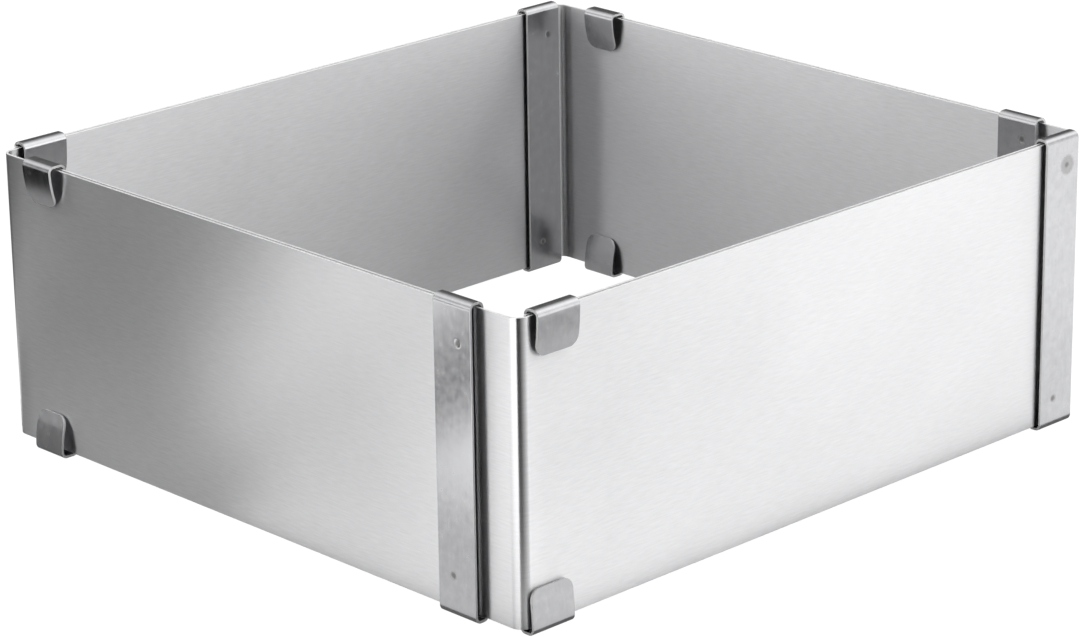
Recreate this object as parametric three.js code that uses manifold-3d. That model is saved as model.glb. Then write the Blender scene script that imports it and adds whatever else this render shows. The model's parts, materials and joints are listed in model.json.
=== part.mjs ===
// Adjustable baking frame: four bent corner sheets that slide along one another.
// Every side is an outer leg over an inner leg. One of the two ends in a full-height strap, the other in a
// pair of hooks, and both are folded round the edges of the leg that slides past them.
// Millimetres, +Z up. The sides are front (-Y), right (+X), rear (+Y) and left (-X).
import * as THREE from 'three';
import { mergeVertices } from 'three/addons/utils/BufferGeometryUtils.js';
import Module from 'manifold-3d';

// Outside size with the legs pushed home, and how far each direction is pulled out as it stands
const CLOSED_X = 211.5;
const CLOSED_Y = 191;
const PULLED_X = 0.5;
const PULLED_Y = 9;

// Corner sheets
const WALL_HEIGHT = 80;
const SHEET = 0.7;
const SHEET_CLEARANCE = 0.5; // between the outer and the inner leg of a side
const CORNER_RADIUS = 3.5; // outside radius of a corner bend

// Strip that the straps and hooks are folded from
const STRIP = 0.7;
const FOLD_RADIUS = 1.1; // inside radius of a fold
const EDGE_CLEARANCE = 0.35; // between a sheet's edge and the fold that goes round it
const END_CLEARANCE = 0.5; // between a leg's end, or what it carries, and the corner it is pushed home to
const OVERHANG = 2; // how far a strap or hook stands past the end of its leg

// Straps
const STRAP_WIDTH = 13;
const STRAP_STANDOFF = 0.8; // between the strap and the sheet it is welded to
const LIP_LENGTH = 4; // how far a strap's lip comes over the sliding sheet
const LIP_CLEARANCE = 0.5;
const REAR_SET_BACK = 1.5; // the rear strap sits this much further from its corner

// Hooks
const HOOK_WIDTH_X = 14;
const HOOK_WIDTH_Y = 11.4;
const HOOK_LENGTH = 10.5; // how far a hook's two legs come over the sheets
const HOOK_CORNER = 3; // radius of a leg's free corners
const HOOK_GAP_X = 1.3; // between a hook's tab, at its fold, and the sliding sheet
const HOOK_GAP_Y = 2.2;
const HOOK_TIP_GAP = 0.6; // the same at the tip of the tab, which leans in
const HOOK_SET_BACK_X = 3; // the upper hooks sit this much further from the leg's end than the lower ones
const HOOK_SET_BACK_Y = 1;

// Spot welds
const WELD_DIAMETER = 2.2;
const WELD_THICKNESS = 0.3;
const DIMPLE_RIM = 0.5; // ring of the dimple pressed into a strap, outside its weld
const FRONT_WELD_INSET = 7; // from the sheet's edge to a strap's welds, which are placed by hand
const RIGHT_WELD_INSET = 5;
const REAR_WELD_INSET = 7.5;
const LEFT_WELD_INSET = 9.5;
const UPPER_WELD_PLACE = 4.6; // from a strap's edge at the leg's end
const LOWER_WELD_PLACE = 7.8;
const HOOK_WELD_INSET = 6;

// Facets of the round stretches
const CORNER_STEPS = 6;
const FOLD_STEPS = 5;
const ROUND_STEPS = 24;

const MERGE_DISTANCE = 1e-5; // points nearer than this are one

// Sizes that follow from these
const SHEET_PITCH = SHEET + SHEET_CLEARANCE;
const PACK = SHEET_PITCH + SHEET;
const FACE_CLEARANCE = Math.min(WELD_THICKNESS, LIP_CLEARANCE);
const FOLD_RISE = FOLD_RADIUS - Math.sqrt(FOLD_RADIUS ** 2 - Math.max(FOLD_RADIUS - FACE_CLEARANCE, 0) ** 2);
const CROWN = EDGE_CLEARANCE + FOLD_RISE; // from a sheet's edge to the inside of a fold
const FOLD_MIDDLE = FOLD_RADIUS + STRIP / 2;
const SIDE_X = CLOSED_X + PULLED_X;
const SIDE_Y = CLOSED_Y + PULLED_Y;

// How far the inner face of a corner bend comes along a side, at a depth below the sheet's outer face
function bendReach(depth) {
  const inner = CORNER_RADIUS - SHEET;
  const rise = Math.max(CORNER_RADIUS - depth, 0);
  return CORNER_RADIUS - Math.sqrt(Math.max(inner ** 2 - rise ** 2, 0));
}

// Room left at a corner when a leg is pushed home. Along X it clears the corner bend,
// and along Y it clears the straps and hooks of the X sides.
const HOME_GAP_X = SHEET_PITCH + bendReach(PACK + FACE_CLEARANCE) + END_CLEARANCE;
const DEEPEST_X = PACK + STRIP + Math.max(HOOK_GAP_X, STRAP_STANDOFF, LIP_CLEARANCE, WELD_THICKNESS);
const HOME_GAP_Y = DEEPEST_X + END_CLEARANCE;

const wasm = await Module();
wasm.setup();

function toSolid(geometry) {
  const bare = geometry.clone();
  bare.deleteAttribute('normal');
  bare.deleteAttribute('uv');
  const merged = mergeVertices(bare, MERGE_DISTANCE);
  const mesh = new wasm.Mesh({
    numProp: 3,
    vertProperties: new Float32Array(merged.attributes.position.array),
    triVerts: new Uint32Array(merged.index.array),
  });
  return new wasm.Manifold(mesh);
}

function toGeometry(solid) {
  const mesh = solid.getMesh();
  const geometry = new THREE.BufferGeometry();
  geometry.setAttribute('position', new THREE.BufferAttribute(new Float32Array(mesh.vertProperties), 3));
  geometry.setIndex(new THREE.BufferAttribute(new Uint32Array(mesh.triVerts), 1));
  geometry.computeVertexNormals();
  return geometry;
}

const steel = (color, roughness) => new THREE.MeshStandardMaterial({ color, roughness, metalness: 1 });
const SHEET_STEEL = { color: 0xcfd0d2, roughness: 0.34 };
const STRIP_STEEL = { color: 0xb6b7ba, roughness: 0.26 };
const WELD_STEEL = { color: 0x97979a, roughness: 0.42 };

function piece(name, geometry, finish) {
  const mesh = new THREE.Mesh(geometry, steel(finish.color, finish.roughness));
  mesh.name = name;
  return mesh;
}

// Outline of a strip of even thickness. Its middle line starts at a point and a heading,
// then follows the runs: a straight length, or a turn by an angle at a radius.
function foldedOutline(start, heading, thickness, runs) {
  const left = [];
  const right = [];
  const point = start.clone();
  let angle = heading;
  const across = () => new THREE.Vector2(-Math.sin(angle), Math.cos(angle));
  const mark = () => {
    left.push(point.clone().addScaledVector(across(), thickness / 2));
    right.push(point.clone().addScaledVector(across(), -thickness / 2));
  };
  mark();
  for (const run of runs) {
    if ('straight' in run) {
      point.add(new THREE.Vector2(Math.cos(angle), Math.sin(angle)).multiplyScalar(run.straight));
      mark();
      continue;
    }
    const reach = Math.sign(run.turn) * run.radius;
    const centre = point.clone().addScaledVector(across(), reach);
    for (let step = 0; step < run.steps; step += 1) {
      angle += run.turn / run.steps;
      point.copy(centre).addScaledVector(across(), -reach);
      mark();
    }
  }
  return new THREE.Shape([...left, ...right.reverse()]);
}

const straight = (length) => ({ straight: length });
const fold = (turn) => ({ turn, radius: FOLD_MIDDLE, steps: FOLD_STEPS });
const QUARTER = Math.PI / 2;

function extrude(shape, depth) {
  const options = { depth, bevelEnabled: false, steps: 1, curveSegments: CORNER_STEPS };
  return new THREE.ExtrudeGeometry(shape, options);
}

// A strip's outline is drawn in (distance from the sheet, height) and pulled out along the side
function pullAlongSide(outline, width) {
  const along = new THREE.Matrix4().makeBasis(
    new THREE.Vector3(0, 1, 0),
    new THREE.Vector3(0, 0, 1),
    new THREE.Vector3(1, 0, 0),
  );
  return extrude(outline, width).applyMatrix4(along);
}

// Corner sheet: an outer leg along +X and an inner leg along +Y, bent at the corner between them
function cornerSheet(outerLength, innerLength) {
  const middle = CORNER_RADIUS - SHEET / 2;
  const outline = foldedOutline(new THREE.Vector2(outerLength, SHEET / 2), Math.PI, SHEET, [
    straight(outerLength - SHEET_PITCH - CORNER_RADIUS),
    { turn: -QUARTER, radius: middle, steps: CORNER_STEPS },
    straight(innerLength - CORNER_RADIUS),
  ]);
  return extrude(outline, WALL_HEIGHT);
}

// A round plug that stands along +Y, from one distance to another off the sheet
function plug(diameterNear, diameterFar, near, far, x, z) {
  const cone = new THREE.CylinderGeometry(diameterFar / 2, diameterNear / 2, far - near, ROUND_STEPS);
  return cone.translate(x, (near + far) / 2, z);
}

const strapWelds = (inset) => ({
  upper: { x: UPPER_WELD_PLACE, z: WALL_HEIGHT - inset },
  lower: { x: LOWER_WELD_PLACE, z: inset },
});
const DIMPLE_DIAMETER = WELD_DIAMETER + 2 * DIMPLE_RIM;
const DIMPLE_DEPTH = STRAP_STANDOFF - WELD_THICKNESS;

// Strap: a web over the whole height, folded over both edges into short lips, with two dimples for its welds
function strap(welds) {
  const lipFace = -PACK - LIP_CLEARANCE - STRIP / 2;
  const webFace = STRAP_STANDOFF + STRIP / 2;
  const level = CROWN + STRIP / 2 - FOLD_MIDDLE;
  const flat = webFace - lipFace - 2 * FOLD_MIDDLE;
  const outline = foldedOutline(new THREE.Vector2(lipFace, LIP_LENGTH), -QUARTER, STRIP, [
    straight(LIP_LENGTH + level),
    fold(QUARTER),
    straight(flat),
    fold(QUARTER),
    straight(WALL_HEIGHT + 2 * level),
    fold(QUARTER),
    straight(flat),
    fold(QUARTER),
    straight(LIP_LENGTH + level),
  ]);
  let solid = toSolid(pullAlongSide(outline, STRAP_WIDTH));
  const outside = STRAP_STANDOFF + STRIP;
  const floor = outside - DIMPLE_DEPTH;
  for (const { x, z } of Object.values(welds)) {
    const boss = plug(WELD_DIAMETER, DIMPLE_DIAMETER, WELD_THICKNESS, STRAP_STANDOFF + STRIP / 2, x, z);
    const dent = plug(WELD_DIAMETER, DIMPLE_DIAMETER, floor, outside, x, z);
    const mouth = plug(DIMPLE_DIAMETER, DIMPLE_DIAMETER, outside, outside + STRIP, x, z);
    solid = solid.add(toSolid(boss)).subtract(toSolid(dent).add(toSolid(mouth)));
  }
  return toGeometry(solid);
}

// Upper hook: a leg welded to its sheet, folded over the edges into a tab leaning towards the sliding sheet
function hook(width, gap) {
  const weldedFace = WELD_THICKNESS + STRIP / 2;
  const tabFace = -PACK - gap - STRIP / 2;
  const level = CROWN + STRIP / 2 - FOLD_MIDDLE;
  const lean = Math.atan2(gap - HOOK_TIP_GAP, HOOK_LENGTH);
  const tabLength = (HOOK_LENGTH + level) / Math.cos(lean);
  const outline = foldedOutline(new THREE.Vector2(weldedFace, WALL_HEIGHT - HOOK_LENGTH), QUARTER, STRIP, [
    straight(HOOK_LENGTH + level),
    fold(QUARTER),
    straight(weldedFace - tabFace - 2 * FOLD_MIDDLE),
    fold(QUARTER + lean),
    straight(tabLength),
  ]);
  const body = toSolid(pullAlongSide(outline, width));

  // Seen square on, the free corners of both legs are round
  const tip = WALL_HEIGHT - HOOK_LENGTH;
  const top = WALL_HEIGHT + CROWN + 2 * STRIP;
  const front = new THREE.Shape();
  front.moveTo(0, top);
  front.lineTo(0, tip + HOOK_CORNER);
  front.absarc(HOOK_CORNER, tip + HOOK_CORNER, HOOK_CORNER, Math.PI, 1.5 * Math.PI, false);
  front.lineTo(width - HOOK_CORNER, tip);
  front.absarc(width - HOOK_CORNER, tip + HOOK_CORNER, HOOK_CORNER, 1.5 * Math.PI, 2 * Math.PI, false);
  front.lineTo(width, top);
  const reach = 2 * (weldedFace - tabFace);
  const square = extrude(front, reach).rotateX(QUARTER).translate(0, reach / 2, 0);
  return toGeometry(body.intersect(toSolid(square)));
}

// The sides in order round the frame. The corner sheet at a side's start has the side's outer leg.
const SIDES = [
  { name: 'front', along: 'x', strapOn: 'outer', setBack: 0, weldInset: FRONT_WELD_INSET, turn: 0 },
  { name: 'right', along: 'y', strapOn: 'inner', setBack: 0, weldInset: RIGHT_WELD_INSET, turn: 1 },
  { name: 'rear', along: 'x', strapOn: 'inner', setBack: REAR_SET_BACK, weldInset: REAR_WELD_INSET, turn: 2 },
  { name: 'left', along: 'y', strapOn: 'outer', setBack: 0, weldInset: LEFT_WELD_INSET, turn: 3 },
];
const CORNERS = ['front_left', 'front_right', 'rear_right', 'rear_left'];
const CORNER_PLACES = [
  [-SIDE_X / 2, -SIDE_Y / 2],
  [SIDE_X / 2, -SIDE_Y / 2],
  [SIDE_X / 2, SIDE_Y / 2],
  [-SIDE_X / 2, SIDE_Y / 2],
];
const DIRECTIONS = {
  x: {
    length: SIDE_X,
    leg: CLOSED_X - HOME_GAP_X - OVERHANG,
    gap: HOME_GAP_X + PULLED_X,
    hookWidth: HOOK_WIDTH_X,
    hookGap: HOOK_GAP_X,
    hookSetBack: HOOK_SET_BACK_X,
  },
  y: {
    length: SIDE_Y,
    leg: CLOSED_Y - HOME_GAP_Y - OVERHANG,
    gap: HOME_GAP_Y + PULLED_Y,
    hookWidth: HOOK_WIDTH_Y,
    hookGap: HOOK_GAP_Y,
    hookSetBack: HOOK_SET_BACK_Y,
  },
};

// What a leg carries is placed from the edge at the leg's end, square to the face it is welded to
function carried(leg, direction, setBack) {
  const group = new THREE.Group();
  if (leg === 'inner') {
    group.position.set(direction.gap + setBack, PACK, 0);
  } else {
    group.position.set(direction.length - direction.gap - setBack, 0, 0);
    group.rotation.z = Math.PI;
  }
  return group;
}

function weld(name, x, z) {
  return piece(name, plug(WELD_DIAMETER, WELD_DIAMETER, 0, WELD_THICKNESS, x, z), WELD_STEEL);
}

function strapOnLeg(side, direction) {
  const group = carried(side.strapOn, direction, side.setBack);
  const welds = strapWelds(side.weldInset);
  group.add(piece(`${side.name}_strap`, strap(welds), STRIP_STEEL));
  for (const [level, { x, z }] of Object.entries(welds)) {
    group.add(weld(`${side.name}_strap_weld_${level}`, x, z));
  }
  return group;
}

// The lower hook is the upper one turned over
function hookOnLeg(side, direction, level) {
  const leg = side.strapOn === 'outer' ? 'inner' : 'outer';
  const group = carried(leg, direction, level === 'upper' ? direction.hookSetBack : 0);
  const turned = new THREE.Group();
  if (level === 'lower') {
    turned.rotation.y = Math.PI;
    turned.position.set(direction.hookWidth, 0, WALL_HEIGHT);
  }
  const shape = hook(direction.hookWidth, direction.hookGap);
  turned.add(piece(`${side.name}_hook_${level}`, shape, STRIP_STEEL));
  const weldPlace = [direction.hookWidth / 2, WALL_HEIGHT - HOOK_WELD_INSET];
  turned.add(weld(`${side.name}_hook_weld_${level}`, ...weldPlace));
  group.add(turned);
  return group;
}

const frame = new THREE.Group();
frame.name = 'baking_frame';
SIDES.forEach((side, index) => {
  const direction = DIRECTIONS[side.along];
  const before = DIRECTIONS[SIDES[(index + SIDES.length - 1) % SIDES.length].along];
  const group = new THREE.Group();
  const [x, y] = CORNER_PLACES[index];
  group.position.set(x, y, CROWN + STRIP);
  group.rotation.z = side.turn * QUARTER;
  const sheet = cornerSheet(direction.leg, before.leg);
  group.add(piece(`${CORNERS[index]}_sheet`, sheet, SHEET_STEEL));
  group.add(strapOnLeg(side, direction));
  group.add(hookOnLeg(side, direction, 'upper'));
  group.add(hookOnLeg(side, direction, 'lower'));
  frame.add(group);
});

// The origin is the middle of the footprint, on the plane that the folds rest on
frame.updateMatrixWorld(true);
const box = new THREE.Box3().setFromObject(frame, true);
const middle = box.getCenter(new THREE.Vector3());
frame.position.set(-middle.x, -middle.y, -box.min.z);
frame.updateMatrixWorld(true);

export default frame;
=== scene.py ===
# Looks of the adjustable baking frame: brushed corner sheets, bright straps and hooks, and their spot welds.
import json
from math import cos, pi, radians, sin

import bmesh
import bpy
from mathutils import Matrix, Quaternion, Vector, noise


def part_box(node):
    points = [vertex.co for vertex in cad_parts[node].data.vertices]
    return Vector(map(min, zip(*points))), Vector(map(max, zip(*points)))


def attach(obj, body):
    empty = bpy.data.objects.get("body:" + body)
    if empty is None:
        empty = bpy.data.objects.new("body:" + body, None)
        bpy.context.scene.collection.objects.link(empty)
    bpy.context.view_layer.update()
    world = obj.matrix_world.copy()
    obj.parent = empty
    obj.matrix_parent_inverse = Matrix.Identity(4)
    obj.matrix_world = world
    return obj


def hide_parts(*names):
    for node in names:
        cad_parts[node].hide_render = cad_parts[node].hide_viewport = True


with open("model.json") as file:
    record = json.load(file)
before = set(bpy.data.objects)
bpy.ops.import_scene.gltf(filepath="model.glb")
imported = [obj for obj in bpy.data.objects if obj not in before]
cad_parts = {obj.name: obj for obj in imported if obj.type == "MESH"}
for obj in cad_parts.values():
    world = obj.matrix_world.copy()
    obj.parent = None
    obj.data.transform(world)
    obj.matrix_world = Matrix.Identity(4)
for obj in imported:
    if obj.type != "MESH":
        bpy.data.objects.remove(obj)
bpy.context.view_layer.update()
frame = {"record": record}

# Metal, in metres
SHEET = 0.0007
STRIP = 0.0007
BEND_RADIUS = 0.0035  # outside of a corner bend
FOLD_RADIUS = 0.00145  # middle of the strip in a fold
LIP_END = 0.005395  # a strap's lip stops this far from the strap's top or bottom
TAB_LEAN = {"front": radians(3.8), "rear": radians(3.8), "left": radians(8.7), "right": radians(8.7)}
TAB_CURL = 0.8  # share of the lean by which a tab's tip leans more and its root less
HOOK_CORNER = 0.003
EDGE_ROUND = 0.00013  # worn roundness of the cut edges
EDGE_ANGLE = radians(40)  # edges sharper than this are worn
DIMPLE_FLOOR = 0.0005
DIMPLE_RIM = 0.0013
DIMPLE_DEPTH = 0.00016
TINT_CORE = 0.0013
TINT_FADE = 0.0007
TINT_RING = {"front_strap_weld_upper": 0.003}  # a wider, fainter tint round this weld
RING_SHARE = 0.5
SHEET_WAVE = 0.00006
SHEET_WAVES = 22.0  # waves in a metre
STRAP_WAVE = 0.00002
STRAP_WAVES = 60.0
STRAP_WAVE_SHIFT = 90.0  # sets the waves of one strap apart from the next
NUGGET_FLAT = 0.72  # share of a weld's radius that is flat
NUGGET_RIM = 0.3  # share of its thickness that the round rim keeps upright
NUGGET_MERGE = 1e-6

# Fineness of the meshes, in steps
SHEET_ROWS = 12
LEG_STEPS = {"x": 36, "y": 34}
BEND_STEPS = 12
STRAP_COLUMNS = 44
WEB_STEPS = 260
LIP_STEPS = 3
FLAT_STEPS = 2
CORNER_STEPS = 6
FOLD_STEPS = 8
CROWN_STEPS = 10
ROOT_STEPS = 12
TAB_STEPS = 8
NUGGET_STEPS = 32
EDGE_STEPS = 2

CORNERS = {
    "front_left": (-1, -1),
    "front_right": (1, -1),
    "rear_right": (1, 1),
    "rear_left": (-1, 1),
}
SIDES = ("front", "right", "rear", "left")
LEVELS = ("upper", "lower")
QUARTER = pi / 2

# Finishes: grain in spots to the metre, along and across where it is stretched, and bump depths in metres
BRUSH_FINE = (180.0, 3200.0, 1.0)
BRUSH_FLECKS = (260.0, 1500.0, 1.0)
SHEET_CLOUDS = (22.0, 30.0, 1.0)
FINE_SHARE = 0.6
LINE_SHARE = 0.75
SHEET_DARK = (0.69, 0.69, 0.7)
SHEET_LIGHT = (0.83, 0.83, 0.84)
SHEET_ROUGHNESS = (0.34, 0.4)
BRUSH_DEPTH = 0.000006
BRUSH_PULL = 1.0  # how far the lines draw a highlight out
BRUSH_TURN = 0.25  # a quarter turn, so that it is drawn out across them
STRIP_MOTTLE = (420.0, 420.0, 420.0)
STRIP_SCUFFS = (160.0, 1400.0, 1.0)
STRIP_DENTS = (150.0, 150.0, 150.0)
MOTTLE_SHARE = 0.75
MOTTLE_SPAN = (0.32, 0.68)
MOTTLE_BUMP = 0.05
STRIP_DARK = (0.455, 0.455, 0.47)
STRIP_LIGHT = (0.52, 0.52, 0.53)
STRIP_ROUGHNESS = (0.2, 0.28)
STRIP_DEPTH = 0.00002
TINT_COLOUR = (0.22, 0.215, 0.21)
TINT_ROUGHNESS = 0.1
EDGE_SHEAR = (900.0, 900.0, 900.0)
SHEET_EDGE = (0.88, 0.97)
STRIP_EDGE = (0.5, 0.6)
EDGE_ROUGHNESS = (0.58, 0.72)
EDGE_DEPTH = 0.00002
WELD_SCALE = (1500.0, 1500.0, 1500.0)
WELD_DARK = (0.3, 0.27, 0.25)
WELD_LIGHT = (0.46, 0.45, 0.46)
WELD_ROUGHNESS = (0.4, 0.6)
WELD_DEPTH = 0.00004
NOISE_SPAN = (0.3, 0.7)  # nearly all of a noise lies between these

# Camera, found from the picture's corners
LENS = 135.93
AZIMUTH = radians(46.15)
ELEVATION = radians(19.309)
ROLL = radians(-0.842)
DISTANCE = 1.1127
AIM_SIDEWAYS = -0.00086
AIM_HEIGHT = 0.03108

# Studio, by bearing in plan in degrees from +X towards +Y: light of the dome low and high, and the painted
# light and shade that the floor glows with for the metal to mirror
DOME_LOW = (
    (-180, 1.3), (-146, 1.8), (-122, 0.8), (-105, 1.9), (-54, 2.4), (-46, 1.2), (-30, 0.6), (0, 0.2),
    (46, 0.1), (110, 0.3), (127, 0.1), (138, 2.2), (148, 0.9), (180, 1.3),
)
DOME_HIGH = (
    (-180, 2.4), (-150, 2.5), (-120, 1.6), (-60, 1.6), (-20, 1.9), (46, 0.6), (115, 1.5), (150, 0.4),
    (180, 2.4),
)
DOME_TOP = (0.8, 0.8, 0.8)
WHITE = (1.0, 1.0, 1.0)
# Painted shade in the floor glow that the metal mirrors: darker inside the frame, and darker still in a ring
# round its foot
INSIDE_PAINTED_SHADE = (0.4, 0.4, 0.4)
CONTACT_PAINTED_SHADOW = (0.2, 0.2, 0.2)  # painted contact shadow in the ring that the frame stands on
# Painted light and shade in the floor glow, by bearing, beside and beyond the frame: dark at the back left as
# a painted shadow of the frame, light before it
PAINTED_LIGHT_BESIDE = (
    (-180, 0.8), (-145, 0.9), (-118, 1.1), (-60, 1.2), (0, 1.5), (126, 1.3), (134, 0.25), (165, 0.2),
    (180, 0.8),
)
PAINTED_LIGHT_BEYOND = (
    (-180, 2.1), (-150, 1.9), (-118, 1.6), (-95, 0.3), (-80, 0.6), (-50, 1.5), (0, 0.6), (46, 0.5),
    (100, 0.2), (118, 0.0), (142, 0.0), (156, 2.2), (164, 0.3), (171, 0.2), (180, 2.1),
)
FLOOR_HALF = 4.0
FLOOR_WHITE = 0.94  # share of plain white in the floor that the camera sees
FLOOR_STRENGTH = 1.05
INSIDE_REACH = 0.104
CONTACT_REACH = 0.109
BESIDE_REACH = 0.15
BESIDE_FADE = 0.2
DEPTH_SCALE, DEPTH_SHIFT = 0.8, 0.026  # the zones run on further before and behind the frame than beside it
LOW_UNTIL, HIGH_FROM = 0.34, 0.64  # sine of the height above the horizon
HIGH_UNTIL, TOP_FROM = 0.8, 0.95

# Painted reflection: a glowing card before the near corner, which only the metal sees and its bend mirrors as
# a dark line with a soft right side
CARD_BEARING = radians(-105)
CARD_DISTANCE = 0.03
CARD_SIZE = (0.05, 0.25)
CARD_PAINTED_DARK = 0.35  # share of the width that is black
CARD_PAINTED_LIGHT = 1.0  # level at the light end


def body_of(node):
    """The CAD body that a node belongs to."""
    for body, members in frame["record"]["behaviour"]["bodies"].items():
        if node in members:
            return body
    raise KeyError(node)


# Materials

class Nodes:
    """The node tree of a material or a world, with short calls for adding and joining nodes."""

    def __init__(self, owner):
        owner.use_nodes = True
        self.owner = owner
        self.tree = owner.node_tree
        self.tree.nodes.clear()

    def add(self, kind, **settings):
        node = self.tree.nodes.new("ShaderNode" + kind)
        for key, value in settings.items():
            setattr(node, key, value)
        return node

    def join(self, source, target):
        self.tree.links.new(source, target)

    def parts(self, vector):
        """The X, Y and Z of a vector."""
        node = self.add("SeparateXYZ")
        self.join(vector, node.inputs["Vector"])
        return node.outputs

    def grain(self, coordinates, stretch, detail=2.0, roughness=0.5):
        """Noise stretched along one way, from about 0 to 1."""
        mapping = self.add("Mapping")
        mapping.inputs["Scale"].default_value = stretch
        self.join(coordinates, mapping.inputs["Vector"])
        texture = self.add("TexNoise", noise_dimensions="3D")
        texture.inputs["Scale"].default_value = 1.0
        texture.inputs["Detail"].default_value = detail
        texture.inputs["Roughness"].default_value = roughness
        self.join(mapping.outputs["Vector"], texture.inputs["Vector"])
        return texture.outputs["Fac"]

    def ranged(self, value, span, to=(0.0, 1.0), interpolation="LINEAR"):
        """The value carried over from one span to another."""
        node = self.add("MapRange", interpolation_type=interpolation)
        node.inputs["From Min"].default_value, node.inputs["From Max"].default_value = span
        node.inputs["To Min"].default_value, node.inputs["To Max"].default_value = to
        self.join(value, node.inputs["Value"])
        return node.outputs["Result"]

    def maths(self, operation, *values):
        node = self.add("Math", operation=operation)
        for socket, value in zip(node.inputs, values):
            if isinstance(value, (int, float)):
                socket.default_value = value
            else:
                self.join(value, socket)
        return node.outputs["Value"]

    def shared(self, first, second, share_of_first):
        """Two values added by their shares, which make 1 together."""
        return self.maths("ADD", self.maths("MULTIPLY", first, share_of_first),
                          self.maths("MULTIPLY", second, 1.0 - share_of_first))

    def mixed(self, factor, first, second):
        """A colour between two, each a colour or a socket."""
        node = self.add("Mix", data_type="RGBA")
        self.join(factor, node.inputs["Factor"])
        for socket, value in ((node.inputs["A"], first), (node.inputs["B"], second)):
            if isinstance(value, tuple):
                socket.default_value = (*value, 1.0)
            else:
                self.join(value, socket)
        return node.outputs["Result"]

    def by_bearing(self, place, levels):
        """Grey that follows the bearing of a place or direction in plan. Levels may go past 1."""
        parts = self.parts(place)
        around = self.ranged(self.maths("ARCTAN2", parts["Y"], parts["X"]), (-pi, pi))
        ramp = self.add("ValToRGB")
        ramp.color_ramp.interpolation = "EASE"
        self.join(around, ramp.inputs["Fac"])
        stops = ramp.color_ramp.elements
        stops.remove(stops[-1])
        for number, (degrees, level) in enumerate(levels):
            position = (degrees + 180) / 360
            stop = stops[0] if number == 0 else stops.new(position)
            stop.position = position
            stop.color = (level, level, level, 1.0)
        return ramp.outputs["Color"]

    def steel(self, colour, roughness, bump_height, bump_depth, brushed=False):
        """The metal shader itself. Colour and roughness are sockets."""
        shader = self.add("BsdfPrincipled")
        shader.inputs["Metallic"].default_value = 1.0
        self.join(colour, shader.inputs["Base Color"])
        self.join(roughness, shader.inputs["Roughness"])
        bump = self.add("Bump")
        bump.inputs["Strength"].default_value = 1.0
        bump.inputs["Distance"].default_value = bump_depth
        self.join(bump_height, bump.inputs["Height"])
        self.join(bump.outputs["Normal"], shader.inputs["Normal"])
        if brushed:
            shader.inputs["Anisotropic"].default_value = BRUSH_PULL
            shader.inputs["Anisotropic Rotation"].default_value = BRUSH_TURN
            tangent = self.add("Tangent", direction_type="UV_MAP", uv_map="along")
            self.join(tangent.outputs["Tangent"], shader.inputs["Tangent"])
        return self.surface(shader.outputs["BSDF"])

    def surface(self, shader):
        """Ends a material with its shader, and gives the material back."""
        output = self.add("OutputMaterial")
        self.join(shader, output.inputs["Surface"])
        return self.owner


def material_nodes(name):
    return Nodes(bpy.data.materials.new(name))


def brushed_sheet():
    """Brush lines that run along the sheet and round its bend, over faint clouds."""
    nodes = material_nodes("brushed_sheet")
    along = nodes.add("UVMap", uv_map="along").outputs["UV"]
    fine = nodes.grain(along, BRUSH_FINE, detail=3.0, roughness=0.6)
    flecks = nodes.grain(along, BRUSH_FLECKS)
    cloud = nodes.grain(along, SHEET_CLOUDS, detail=3.0, roughness=0.6)
    lines = nodes.shared(fine, flecks, FINE_SHARE)
    tone = nodes.shared(lines, cloud, LINE_SHARE)
    colour = nodes.mixed(nodes.ranged(tone, NOISE_SPAN), SHEET_DARK, SHEET_LIGHT)
    roughness = nodes.ranged(lines, NOISE_SPAN, SHEET_ROUGHNESS)
    return nodes.steel(colour, roughness, lines, BRUSH_DEPTH, brushed=True)


def bright_strip():
    """Smooth mill finish with faint mottling, scuffs along the strip and a tint round the welds."""
    nodes = material_nodes("bright_strip")
    place = nodes.add("TexCoord").outputs["Object"]
    along = nodes.add("UVMap", uv_map="along").outputs["UV"]
    mottle = nodes.grain(place, STRIP_MOTTLE, detail=3.0, roughness=0.6)
    scuff = nodes.grain(along, STRIP_SCUFFS)
    dents = nodes.grain(place, STRIP_DENTS, detail=1.0)
    tint = nodes.add("Attribute", attribute_name="weld_tint", attribute_type="GEOMETRY").outputs["Fac"]
    tone = nodes.shared(mottle, scuff, MOTTLE_SHARE)
    clean = nodes.mixed(nodes.ranged(tone, MOTTLE_SPAN), STRIP_DARK, STRIP_LIGHT)
    colour = nodes.mixed(tint, clean, TINT_COLOUR)
    smooth = nodes.ranged(tone, NOISE_SPAN, STRIP_ROUGHNESS)
    roughness = nodes.maths("MULTIPLY_ADD", tint, TINT_ROUGHNESS, smooth)
    height = nodes.maths("MULTIPLY_ADD", mottle, MOTTLE_BUMP, dents)
    return nodes.steel(colour, roughness, height, STRIP_DEPTH)


def cut_edge(name, greys):
    """Sheared edges, a little rougher than the faces, with their darkest and lightest grey."""
    nodes = material_nodes(name)
    dark, light = greys
    place = nodes.add("TexCoord").outputs["Object"]
    shear = nodes.grain(place, EDGE_SHEAR)
    colour = nodes.mixed(nodes.ranged(shear, NOISE_SPAN), (dark, dark, dark), (light, light, light))
    roughness = nodes.ranged(shear, NOISE_SPAN, EDGE_ROUGHNESS)
    return nodes.steel(colour, roughness, shear, EDGE_DEPTH)


def weld_metal():
    """Dull nugget, browned by the heat."""
    nodes = material_nodes("weld_metal")
    place = nodes.add("TexCoord").outputs["Object"]
    scale = nodes.grain(place, WELD_SCALE, detail=3.0, roughness=0.6)
    colour = nodes.mixed(nodes.ranged(scale, NOISE_SPAN), WELD_DARK, WELD_LIGHT)
    roughness = nodes.ranged(scale, NOISE_SPAN, WELD_ROUGHNESS)
    return nodes.steel(colour, roughness, scale, WELD_DEPTH)


# Sheet-metal work

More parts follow.
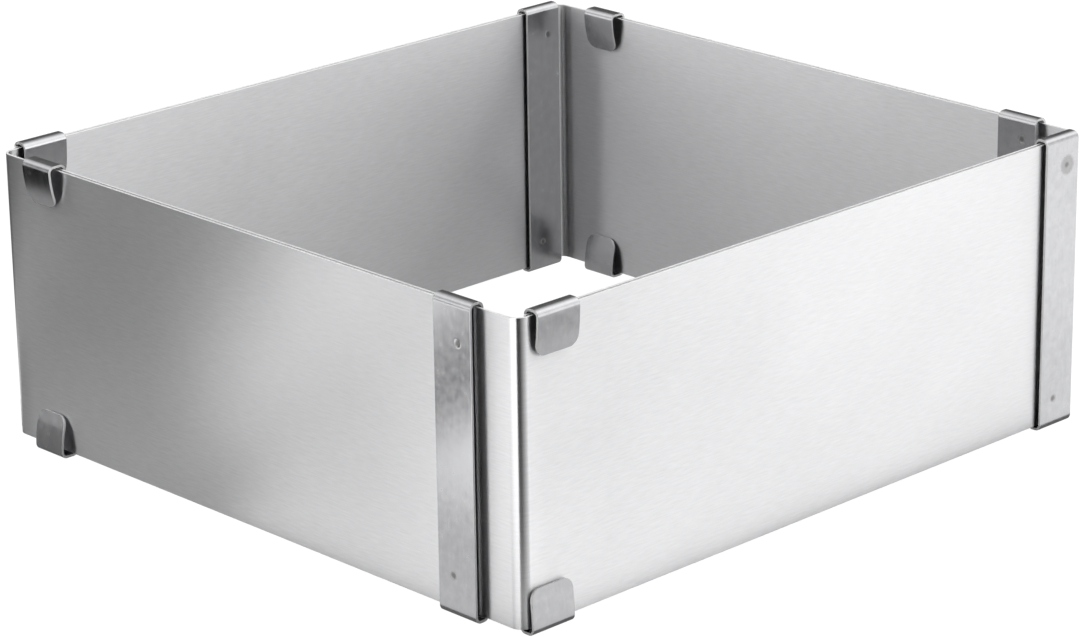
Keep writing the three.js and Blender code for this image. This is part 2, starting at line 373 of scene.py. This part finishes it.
class Strip:
    """A strip of sheet metal that grows from one row of points by straight runs and folds.

    The row lies along X, and the strip's outline is drawn in Y and Z.
    """

    def __init__(self, width, columns, start, heading):
        self.mesh = bmesh.new()
        self.run = self.mesh.verts.layers.float.new("run")
        ends = [self.mesh.verts.new((x, *start)) for x in (0.0, width)]
        edge = self.mesh.edges.new(ends)
        if columns > 1:
            bmesh.ops.subdivide_edges(self.mesh, edges=[edge], cuts=columns - 1)
        self.edges = list(self.mesh.edges)
        self.point = Vector(start)
        self.heading = heading
        self.length = 0.0

    def end_verts(self):
        return list({vert for edge in self.edges for vert in edge.verts})

    def row(self, geometry):
        """Makes the new row the strip's end, and marks how far along the strip it is."""
        self.edges = [item for item in geometry if isinstance(item, bmesh.types.BMEdge)]
        for vert in self.end_verts():
            vert[self.run] = self.length

    def straight(self, length, steps=1):
        for _ in range(steps):
            step = Vector((cos(self.heading), sin(self.heading))) * (length / steps)
            grown = bmesh.ops.extrude_edge_only(self.mesh, edges=self.edges)["geom"]
            verts = [item for item in grown if isinstance(item, bmesh.types.BMVert)]
            fresh = set(verts)
            row = list({edge for vert in verts for edge in vert.link_edges if edge.other_vert(vert) in fresh})
            bmesh.ops.translate(self.mesh, vec=(0.0, *step), verts=verts)
            self.point += step
            self.length += length / steps
            self.row(row)

    def fold(self, turn, radius, steps=FOLD_STEPS):
        side = 1.0 if turn > 0 else -1.0
        across = Vector((-sin(self.heading), cos(self.heading))) * (side * radius)
        centre = self.point + across
        for _ in range(steps):
            geometry = self.end_verts() + self.edges
            spun = bmesh.ops.spin(
                self.mesh, geom=geometry, cent=(0.0, *centre), axis=(1.0, 0.0, 0.0),
                dvec=(0.0, 0.0, 0.0), angle=turn / steps, steps=1, use_duplicate=False)
            self.length += radius * abs(turn) / steps
            self.row(spun["geom_last"])
        self.heading += turn
        self.point = centre - Vector((-sin(self.heading), cos(self.heading))) * (side * radius)

    def curve(self, length, turn, steps):
        """A long gentle curve, made of short straight runs."""
        for _ in range(steps):
            self.heading += turn / steps / 2
            self.straight(length / steps)
            self.heading += turn / steps / 2

    def narrow(self, width, inset):
        """Draws the two ends of the last row in from the strip's sides."""
        for vert in self.end_verts():
            vert.co.x = inset if vert.co.x < width / 2 else width - inset

    def round_start(self, width, radius):
        """Starts the strip with two round corners."""
        self.narrow(width, radius)
        done = 0.0
        for number in range(1, CORNER_STEPS + 1):
            angle = QUARTER * number / CORNER_STEPS
            reach = radius * (1 - cos(angle))
            self.straight(reach - done)
            done = reach
            self.narrow(width, radius * (1 - sin(angle)))

    def round_tip(self, width, radius):
        """Ends the strip with two round corners."""
        done = 0.0
        for number in range(1, CORNER_STEPS + 1):
            angle = QUARTER * number / CORNER_STEPS
            reach = radius * sin(angle)
            self.straight(reach - done)
            done = reach
            self.narrow(width, radius * (1 - cos(angle)))

    def lay_out(self):
        """Flat map of the strip: along its length, then across its width."""
        layer = self.mesh.loops.layers.uv.new("along")
        for face in self.mesh.faces:
            for loop in face.loops:
                loop[layer].uv = (loop.vert[self.run], loop.vert.co.x)

    def place(self, matrix):
        bmesh.ops.transform(self.mesh, matrix=matrix, verts=self.mesh.verts)
        bmesh.ops.recalc_face_normals(self.mesh, faces=self.mesh.faces)


def linked(name, mesh, materials):
    """Makes a finished mesh an object of the scene."""
    data = bpy.data.meshes.new(name)
    mesh.to_mesh(data)
    mesh.free()
    for material in materials:
        data.materials.append(material)
    made = bpy.data.objects.new(name, data)
    bpy.context.scene.collection.objects.link(made)
    return made


def stand_in(piece, node):
    """Puts a piece on its body in place of its CAD node."""
    piece.data.shade_smooth()
    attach(piece, body_of(node))
    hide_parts(node)


def finished(name, mesh, thickness, materials, node):
    """Gives a strip its thickness and worn edges, and puts it on its body."""
    piece = linked(name, mesh, materials)
    wall = piece.modifiers.new("wall", "SOLIDIFY")
    wall.thickness = thickness
    wall.offset = 0.0
    wall.use_even_offset = True
    wall.material_offset_rim = 1
    worn = piece.modifiers.new("worn_edges", "BEVEL")
    worn.width = EDGE_ROUND
    worn.segments = EDGE_STEPS
    worn.profile = 0.5
    worn.limit_method = "ANGLE"
    worn.angle_limit = EDGE_ANGLE
    worn.harden_normals = True
    stand_in(piece, node)


def wave_sheet(mesh):
    """Rolled sheet is never quite flat: long, very shallow waves."""
    mesh.normal_update()
    shifts = {}
    for vert in mesh.verts:
        shifts[vert] = vert.normal * (SHEET_WAVE * noise.noise(vert.co * SHEET_WAVES))
    for vert, shift in shifts.items():
        vert.co += shift


def corner_sheet(corner, materials):
    """One corner sheet: a leg along X, a bend, and a leg along Y."""
    node = corner + "_sheet"
    low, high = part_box(node)
    side_x, side_y = CORNERS[corner]
    corner_x, end_x = (low.x, high.x) if side_x < 0 else (high.x, low.x)
    corner_y, end_y = (low.y, high.y) if side_y < 0 else (high.y, low.y)
    start = (end_x, corner_y - side_y * SHEET / 2)
    strip = Strip(high.z - low.z, SHEET_ROWS, start, 0.0 if side_x > 0 else pi)
    strip.straight(abs(end_x - corner_x) - BEND_RADIUS, LEG_STEPS["x"])
    strip.fold(-side_x * side_y * QUARTER, BEND_RADIUS - SHEET / 2, BEND_STEPS)
    strip.straight(abs(end_y - corner_y) - BEND_RADIUS, LEG_STEPS["y"])
    strip.lay_out()
    # The row stands up: X of the strip is Z of the frame, and its outline lies in plan
    upright = Matrix(((0, 1, 0, 0), (0, 0, 1, 0), (1, 0, 0, low.z), (0, 0, 0, 1)))
    strip.place(upright)
    wave_sheet(strip.mesh)
    finished(corner, strip.mesh, SHEET, materials, node)


def along_and_out(side):
    """The axes that run along a side and out of it."""
    return (0, 1) if side in ("front", "rear") else (1, 0)


def strip_matrix(side, low):
    """Places a strip drawn from the low corner of its box: its row runs along the side."""
    if side in ("front", "rear"):
        return Matrix.Translation(low)
    return Matrix.Translation(low) @ Matrix(((0, 1, 0, 0), (1, 0, 0, 0), (0, 0, 1, 0), (0, 0, 0, 1)))


def share(value):
    """The value, kept from 0 to 1."""
    return min(max(value, 0.0), 1.0)


def dimple(mesh, x, z, face, ring):
    """Presses a round dimple into the web, and marks the metal that the weld tinted."""
    tint = mesh.verts.layers.float["weld_tint"]
    for vert in mesh.verts:
        if abs(vert.co.y - face) > STRIP / 2:
            continue
        reach = Vector((vert.co.x - x, vert.co.z - z)).length
        rise = share((DIMPLE_RIM - reach) / (DIMPLE_RIM - DIMPLE_FLOOR))
        vert.co.y += DIMPLE_DEPTH * rise * rise * (3 - 2 * rise)
        core = share((TINT_CORE - reach) / TINT_FADE)
        halo = RING_SHARE * share((ring - reach) / TINT_FADE)
        vert[tint] = max(vert[tint], core, halo)


def strap(side, materials):
    """One strap: a web over the whole height with a lip at each end, and two weld dimples."""
    node = side + "_strap"
    low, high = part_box(node)
    size = high - low
    along, out = along_and_out(side)
    width, depth, height = size[along], size[out], size.z
    lip, web = depth - STRIP / 2, STRIP / 2
    bottom = STRIP / 2
    lip_run = LIP_END - bottom - FOLD_RADIUS
    flat = lip - web - 2 * FOLD_RADIUS
    tall = height - 2 * (bottom + FOLD_RADIUS)
    strip = Strip(width, STRAP_COLUMNS, (lip, LIP_END), -QUARTER)
    strip.mesh.verts.layers.float.new("weld_tint")
    strip.straight(lip_run, LIP_STEPS)
    strip.fold(-QUARTER, FOLD_RADIUS)
    strip.straight(flat, FLAT_STEPS)
    strip.fold(-QUARTER, FOLD_RADIUS)
    strip.straight(tall, WEB_STEPS)
    strip.fold(-QUARTER, FOLD_RADIUS)
    strip.straight(flat, FLAT_STEPS)
    strip.fold(-QUARTER, FOLD_RADIUS)
    strip.straight(lip_run, LIP_STEPS)
    strip.lay_out()
    for level in LEVELS:
        spot_weld = f"{side}_strap_weld_{level}"
        weld_low, weld_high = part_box(spot_weld)
        middle = (weld_low + weld_high) / 2 - low
        dimple(strip.mesh, middle[along], middle.z, web, TINT_RING.get(spot_weld, 0.0))
    for vert in strip.mesh.verts:
        if abs(vert.co.y - web) < STRIP:
            across, up = vert.co.x * STRAP_WAVES, (vert.co.z + low.z) * STRAP_WAVES
            spot = Vector((across, low[along] * STRAP_WAVE_SHIFT, up))
            vert.co.y += STRAP_WAVE * noise.noise(spot)
    strip.place(strip_matrix(side, low))
    finished(side + "_strap_strip", strip.mesh, STRIP, materials, node)


def hook(side, level, materials):
    """One hook: a welded leg, a crown over the sheets, and a tab that leans in."""
    node = f"{side}_hook_{level}"
    low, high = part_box(node)
    size = high - low
    along, out = along_and_out(side)
    width, depth, height = size[along], size[out], size.z
    leg, tab = depth - STRIP / 2, STRIP / 2
    lean = TAB_LEAN[side]
    curl = TAB_CURL * lean
    drop = height - STRIP / 2 - FOLD_RADIUS
    strip = Strip(width, 1, (leg, 0.0), QUARTER)
    strip.round_start(width, HOOK_CORNER)
    strip.straight(drop - HOOK_CORNER)
    strip.fold(QUARTER, FOLD_RADIUS, CROWN_STEPS)
    strip.straight(leg - tab - 2 * FOLD_RADIUS)
    strip.fold(QUARTER + lean - curl, FOLD_RADIUS, ROOT_STEPS)
    strip.curve(strip.point.y / cos(lean) - HOOK_CORNER, 2 * curl, TAB_STEPS)
    strip.round_tip(width, HOOK_CORNER)
    strip.lay_out()
    if level == "lower":
        turned = Matrix.Translation((width, 0.0, height)) @ Matrix.Rotation(pi, 4, "Y")
        bmesh.ops.transform(strip.mesh, matrix=turned, verts=strip.mesh.verts)
    strip.place(strip_matrix(side, low))
    finished(node + "_strip", strip.mesh, STRIP, materials, node)


def weld(node, material):
    """One spot weld: a flat nugget with a squeezed-out rim."""
    low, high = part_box(node)
    size = high - low
    out = min(range(3), key=lambda axis: size[axis])
    radius = max(size) / 2
    half = size[out] / 2
    flat, rim = NUGGET_FLAT * radius, NUGGET_RIM * half
    mesh = bmesh.new()
    outline = ((0.0, -half), (flat, -half), (radius, -rim), (radius, rim), (flat, half), (0.0, half))
    verts = [mesh.verts.new((x, 0.0, z)) for x, z in outline]
    edges = [mesh.edges.new(pair) for pair in zip(verts, verts[1:])]
    bmesh.ops.spin(
        mesh, geom=verts + edges, cent=(0, 0, 0), axis=(0, 0, 1), dvec=(0, 0, 0),
        angle=2 * pi, steps=NUGGET_STEPS, use_merge=True)
    bmesh.ops.remove_doubles(mesh, verts=mesh.verts, dist=NUGGET_MERGE)
    bmesh.ops.recalc_face_normals(mesh, faces=mesh.faces)
    turn = Matrix.Rotation(QUARTER, 4, "Y" if out == 0 else "X")
    bmesh.ops.transform(mesh, matrix=Matrix.Translation((low + high) / 2) @ turn, verts=mesh.verts)
    stand_in(linked(node + "_nugget", mesh, (material,)), node)


# Studio

def photo_camera():
    """Camera at the photograph's angle."""
    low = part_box("front_left_sheet")[0]
    far_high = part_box("rear_right_sheet")[1]
    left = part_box("rear_left_sheet")[0].x
    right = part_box("front_right_sheet")[1].x
    middle = Vector(((left + right) / 2, (low.y + far_high.y) / 2, 0.0))
    sideways = Vector((sin(AZIMUTH), -cos(AZIMUTH), 0.0))
    aim = middle + sideways * AIM_SIDEWAYS + Vector((0.0, 0.0, AIM_HEIGHT))
    back = Vector((-cos(ELEVATION) * cos(AZIMUTH), -cos(ELEVATION) * sin(AZIMUTH), sin(ELEVATION)))
    data = bpy.data.cameras.new("photo_camera")
    data.lens = LENS
    camera = bpy.data.objects.new("photo_camera", data)
    bpy.context.scene.collection.objects.link(camera)
    turn = (-back).to_track_quat("-Z", "Y") @ Quaternion((0.0, 0.0, 1.0), ROLL)
    camera.matrix_world = Matrix.LocRotScale(aim + back * DISTANCE, turn, None)
    bpy.context.scene.camera = camera


def floor_painted_light():
    """White for the camera with a trace of shade, and for what the metal mirrors a glow of painted light and
    shade: painted shade inside the frame, a painted contact shadow round its foot, and light and shade by
    bearing further out.
    """
    nodes = material_nodes("floor_white_and_painted")
    place = nodes.add("TexCoord").outputs["Object"]
    parts = nodes.parts(place)
    sideways = nodes.maths("ABSOLUTE", parts["X"])
    forwards = nodes.maths("MULTIPLY_ADD", nodes.maths("ABSOLUTE", parts["Y"]), DEPTH_SCALE, DEPTH_SHIFT)
    reach = nodes.maths("MAXIMUM", sideways, forwards)
    outside = nodes.maths("GREATER_THAN", reach, INSIDE_REACH)
    # Painted shade inside the frame, and a painted contact shadow round its foot
    under = nodes.mixed(outside, INSIDE_PAINTED_SHADE, CONTACT_PAINTED_SHADOW)
    clear = nodes.maths("GREATER_THAN", reach, CONTACT_REACH)
    near = nodes.mixed(clear, under, nodes.by_bearing(place, PAINTED_LIGHT_BESIDE))
    away = nodes.ranged(reach, (BESIDE_REACH, BESIDE_FADE))
    graded = nodes.mixed(away, near, nodes.by_bearing(place, PAINTED_LIGHT_BEYOND))
    # The painted light and shade glow, in place of a lit floor with real shadows
    mirrored = nodes.add("Emission")
    nodes.join(graded, mirrored.inputs["Color"])
    white = nodes.add("Emission")
    white.inputs["Strength"].default_value = FLOOR_STRENGTH
    shade = nodes.add("BsdfDiffuse")
    lit = nodes.add("MixShader")
    lit.inputs["Fac"].default_value = FLOOR_WHITE
    nodes.join(shade.outputs["BSDF"], lit.inputs[1])
    nodes.join(white.outputs["Emission"], lit.inputs[2])
    seen = nodes.add("MixShader")
    nodes.join(nodes.add("LightPath").outputs["Is Camera Ray"], seen.inputs["Fac"])
    nodes.join(mirrored.outputs["Emission"], seen.inputs[1])
    nodes.join(lit.outputs["Shader"], seen.inputs[2])
    return nodes.surface(seen.outputs["Shader"])


def floor_white_and_painted():
    """Pale floor, far wider than the picture, with painted light and shade for the metal to mirror."""
    mesh = bmesh.new()
    bmesh.ops.create_grid(mesh, x_segments=1, y_segments=1, size=FLOOR_HALF)
    linked("floor", mesh, (floor_painted_light(),))


def card_painted_reflection():
    """Painted reflection: a glow that is black, then lighter and lighter towards one side of the card."""
    nodes = material_nodes("painted_bend_reflection")
    across = nodes.parts(nodes.add("UVMap", uv_map="card").outputs["UV"])["Y"]
    grey = nodes.ranged(across, (CARD_PAINTED_DARK, 1.0), (0.0, CARD_PAINTED_LIGHT))
    card = nodes.add("Emission")
    nodes.join(grey, card.inputs["Color"])
    return nodes.surface(card.outputs["Emission"])


def painted_reflection_card():
    """A glowing card of painted reflection that stands on the floor before the near corner. Only the metal
    sees it.
    """
    width, height = CARD_SIZE
    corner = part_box("front_left_sheet")[0] + Vector((BEND_RADIUS, BEND_RADIUS, 0.0))
    foot = corner + Vector((cos(CARD_BEARING), sin(CARD_BEARING), 0.0)) * CARD_DISTANCE
    upright = Matrix.Rotation(CARD_BEARING, 4, "Z") @ Matrix.Rotation(QUARTER, 4, "Y")
    mesh = bmesh.new()
    mesh.loops.layers.uv.new("card")
    bmesh.ops.create_grid(mesh, x_segments=1, y_segments=1, size=0.5, calc_uvs=True)
    bmesh.ops.scale(mesh, vec=(height, width, 1.0), verts=mesh.verts)
    bmesh.ops.transform(mesh, matrix=upright, verts=mesh.verts)
    bmesh.ops.translate(mesh, vec=(foot.x, foot.y, height / 2), verts=mesh.verts)
    card = linked("bend_painted_reflection", mesh, (card_painted_reflection(),))
    card.visible_camera = False
    card.visible_diffuse = False
    card.visible_shadow = False


def soft_box(name, bearing, height, distance, size, power):
    """A soft light on the floor, from a bearing in plan and a height angle. The metal doesn't mirror it."""
    data = bpy.data.lights.new(name, "AREA")
    data.shape = "RECTANGLE"
    data.size, data.size_y = size
    data.energy = power
    light = bpy.data.objects.new(name, data)
    bpy.context.scene.collection.objects.link(light)
    outwards = Vector((cos(height) * cos(bearing), cos(height) * sin(bearing), sin(height)))
    aim = Vector((0.0, 0.0, AIM_HEIGHT))
    turn = (-outwards).to_track_quat("-Z", "Y")
    light.matrix_world = Matrix.LocRotScale(aim + outwards * distance, turn, None)
    light.visible_glossy = False


def studio_dome():
    """Soft light from all round, low and high, with a darker side behind the frame. The camera sees white."""
    world = bpy.data.worlds.new("studio_dome")
    bpy.context.scene.world = world
    nodes = Nodes(world)
    direction = nodes.add("TexCoord").outputs["Generated"]
    height = nodes.parts(direction)["Z"]
    low = nodes.by_bearing(direction, DOME_LOW)
    high = nodes.by_bearing(direction, DOME_HIGH)
    rising = nodes.ranged(height, (LOW_UNTIL, HIGH_FROM), interpolation="SMOOTHSTEP")
    topmost = nodes.ranged(height, (HIGH_UNTIL, TOP_FROM), interpolation="SMOOTHSTEP")
    dome = nodes.mixed(topmost, nodes.mixed(rising, low, high), DOME_TOP)
    camera_ray = nodes.add("LightPath").outputs["Is Camera Ray"]
    background = nodes.add("Background")
    nodes.join(nodes.mixed(camera_ray, dome, WHITE), background.inputs["Color"])
    output = nodes.add("OutputWorld")
    nodes.join(background.outputs["Background"], output.inputs["Surface"])


sheet_metal = (brushed_sheet(), cut_edge("sheet_edge", SHEET_EDGE))
strip_metal = (bright_strip(), cut_edge("strip_edge", STRIP_EDGE))
nugget = weld_metal()

for name in CORNERS:
    corner_sheet(name, sheet_metal)
for side_name in SIDES:
    strap(side_name, strip_metal)
    for level_name in LEVELS:
        hook(side_name, level_name, strip_metal)
        weld(f"{side_name}_strap_weld_{level_name}", nugget)
        weld(f"{side_name}_hook_weld_{level_name}", nugget)

photo_camera()
floor_white_and_painted()
painted_reflection_card()
soft_box("key", bearing=radians(-42), height=radians(45), distance=0.9, size=(0.45, 0.45), power=6.5)
soft_box("fill", bearing=radians(-165), height=radians(45), distance=0.6, size=(0.3, 0.3), power=1.0)
studio_dome()
bpy.context.scene.view_settings.view_transform = "Standard"
